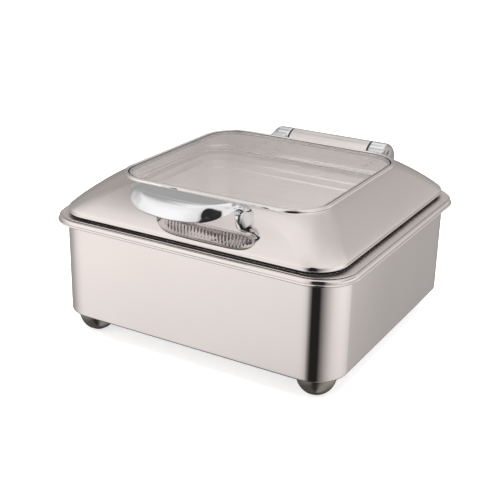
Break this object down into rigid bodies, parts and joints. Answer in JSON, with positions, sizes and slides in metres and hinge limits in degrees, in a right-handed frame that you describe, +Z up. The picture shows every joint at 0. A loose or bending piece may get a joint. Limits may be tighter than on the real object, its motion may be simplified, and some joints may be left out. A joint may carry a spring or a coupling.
{
  "type": "electric chafing dish",
  "caption": "Rectangular countertop chafing dish in polished steel: domed feet, flat rim, lift-out pan over a water bath, domed lid with a glass window, crescent handle and rear barrel hinge.",
  "frame": {"origin": "centre of the object's bounding box at the underside of the feet", "axes": "+X to the right seen from the front, +Y to the rear where the hinge is, +Z up"},
  "size_m": [0.42, 0.4559, 0.2303],
  "materials": {
    "mirror_steel": "mirror-polished stainless steel",
    "ring_chrome": "mirror",
    "satin_steel": "satin",
    "dark_steel": "dark polished",
    "pan_steel": "satin",
    "zinc_plate": "zinc plated",
    "cast_aluminium": "cast",
    "window_glass": "clear tempered",
    "seal_rubber": "matte",
    "foot_rubber": "matte",
    "black_plastic": "fine grain",
    "panel_paint": "satin black",
    "switch_plastic": "gloss",
    "lamp_plastic": "clear amber",
    "element_steel": "heat-treated",
    "brass_parts": "plain",
    "fibre_wool": "pressed fibre",
    "wire_sheath": "silicone sheath",
    "bush_plastic": "plain"
  },
  "bodies": {
    "base": {"body_shell": "mirror_steel", "body_rim": "mirror_steel", "base_plate": "zinc_plate", "base_plate_screws": "zinc_plate", "foot_domes": "dark_steel", "foot_pads": "foot_rubber", "foot_bolts": "zinc_plate", "foot_nuts": "zinc_plate", "water_pan": "pan_steel", "reflector_tray": "zinc_plate", "insulation_pad": "fibre_wool", "heating_element": "element_steel", "heating_plate": "cast_aluminium", "heater_pillars": "zinc_plate", "pillar_screws": "zinc_plate", "thermostat_bulb": "brass_parts", "bulb_clip": "zinc_plate", "thermal_cutout": "black_plastic", "terminal_block": "bush_plastic", "supply_wires": "wire_sheath", "element_wires": "wire_sheath", "control_panel": "panel_paint", "panel_screws": "zinc_plate", "thermostat_body": "black_plastic", "switch_housing": "black_plastic", "pilot_bezel": "black_plastic", "pilot_lens": "lamp_plastic", "mains_inlet": "black_plastic", "inlet_pins": "brass_parts", "inlet_screws": "zinc_plate", "hinge_bracket": "satin_steel", "bracket_screws": "zinc_plate", "hinge_barrel": "satin_steel", "barrel_screws": "zinc_plate", "hinge_bushes": "bush_plastic", "hinge_washers": "black_plastic", "hinge_damper": "black_plastic"},
    "lid": {"lid_shell": "mirror_steel", "window_ring": "ring_chrome", "window_gasket": "seal_rubber", "glass_pane": "window_glass", "lid_seal": "seal_rubber", "hinge_arm_right": "ring_chrome", "hinge_arm_left": "ring_chrome", "hinge_arm_screws": "zinc_plate", "hinge_pin": "satin_steel", "handle_foot_right": "ring_chrome", "handle_foot_left": "ring_chrome", "handle_grip": "ring_chrome", "handle_screws": "zinc_plate", "handle_washers": "zinc_plate"},
    "food_pan": {"food_pan": "pan_steel"},
    "dial": {"thermostat_knob": "black_plastic", "thermostat_shaft": "satin_steel"},
    "rocker": {"switch_rocker": "switch_plastic"}
  },
  "joints": [
    {"name": "lid_hinge", "type": "hinge", "parent": "base", "child": "lid", "pos_m": [0, 0.2065, 0.1882], "axis": [-1, 0, 0], "range_deg": [0, 90]},
    {"name": "food_pan_lift", "type": "slide", "parent": "base", "child": "food_pan", "axis": [0, 0, 1], "range_m": [0, 0.022]},
    {"name": "thermostat_turn", "type": "hinge", "parent": "base", "child": "dial", "pos_m": [-0.06, 0.191, 0.08], "axis": [0, -1, 0], "range_deg": [0, 270]},
    {"name": "switch_rock", "type": "hinge", "parent": "base", "child": "rocker", "pos_m": [0.008, 0.176, 0.08], "axis": [0, 0, 1], "range_deg": [0, 18]}
  ]
}
